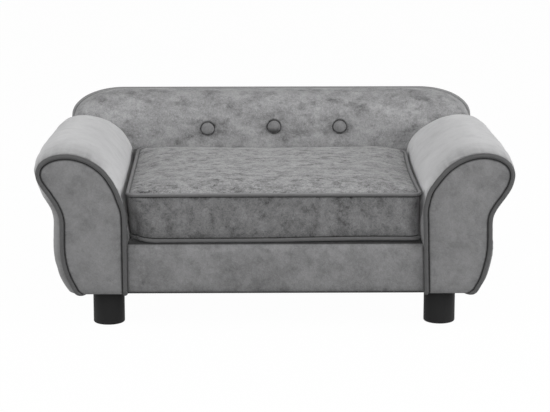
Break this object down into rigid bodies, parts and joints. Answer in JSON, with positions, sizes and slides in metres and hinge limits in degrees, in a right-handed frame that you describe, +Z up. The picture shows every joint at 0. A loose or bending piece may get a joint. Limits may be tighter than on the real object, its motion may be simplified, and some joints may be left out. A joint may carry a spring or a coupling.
{
  "type": "dog sofa bed",
  "caption": "Low upholstered pet sofa with rolled piped arms, buttoned backrest, loose box cushion and round feet.",
  "frame": {"origin": "middle of the footprint, on the floor plane under the feet", "axes": "+X to the right of someone facing the sofa's front, +Y from the front to the backrest, +Z up"},
  "size_m": [0.72, 0.45, 0.3],
  "materials": {
    "arm_plush": "short pile plush, brushed pale",
    "black_plastic": "moulded plastic",
    "cushion_plush": "short pile plush, brushed",
    "foam": "open cell foam and polyester wadding",
    "foot_plastic": "black moulded plastic, satin",
    "frame_board": "raw plywood and softwood board",
    "lining": "black non-woven lining",
    "piping_cloth": "plain woven piping cloth",
    "plush": "short pile plush, mottled",
    "steel": "zinc plated"
  },
  "bodies": {
    "sofa": {"front_rail": "frame_board", "rear_rail": "frame_board", "left_side_rail": "frame_board", "right_side_rail": "frame_board", "centre_slat": "frame_board", "seat_board": "frame_board", "deck_pad": "foam", "deck_cloth": "plush", "front_pad": "foam", "base_front_cover": "plush", "dust_cover": "lining", "frame_screws": "steel", "foot_blocks": "frame_board", "left_arm_front_board": "frame_board", "right_arm_front_board": "frame_board", "left_arm_rear_board": "frame_board", "right_arm_rear_board": "frame_board", "left_arm_battens": "frame_board", "right_arm_battens": "frame_board", "left_arm_foam": "foam", "right_arm_foam": "foam", "left_arm_cover": "arm_plush", "right_arm_cover": "arm_plush", "left_arm_facing": "plush", "right_arm_facing": "plush", "left_arm_piping": "piping_cloth", "right_arm_piping": "piping_cloth", "left_arm_rear_panel": "arm_plush", "right_arm_rear_panel": "arm_plush", "backrest_board": "frame_board", "backrest_rim": "frame_board", "backrest_foam": "foam", "backrest_cover": "plush", "backrest_rear_cover": "plush", "backrest_piping": "piping_cloth", "back_buttons": "plush", "button_twines": "lining", "button_toggles": "black_plastic", "arm_bolts": "steel", "front_left_foot": "foot_plastic", "front_right_foot": "foot_plastic", "rear_left_foot": "foot_plastic", "rear_right_foot": "foot_plastic", "foot_screws": "steel"},
    "cushion": {"cushion_core": "foam", "cushion_top_panel": "cushion_plush", "cushion_band": "cushion_plush", "cushion_bottom_panel": "cushion_plush", "cushion_top_piping": "piping_cloth", "cushion_bottom_piping": "piping_cloth", "zip_tape": "piping_cloth", "zip_teeth": "black_plastic"},
    "zip_slider": {"zip_slider": "steel", "zip_puller": "steel"}
  },
  "joints": [
    {"name": "cushion_lift", "type": "slide", "parent": "sofa", "child": "cushion", "axis": [0, 0, 1], "range_m": [0, 0.2]},
    {"name": "zip_slide", "type": "slide", "parent": "cushion", "child": "zip_slider", "axis": [-1, 0, 0], "range_m": [0, 0.3]}
  ]
}
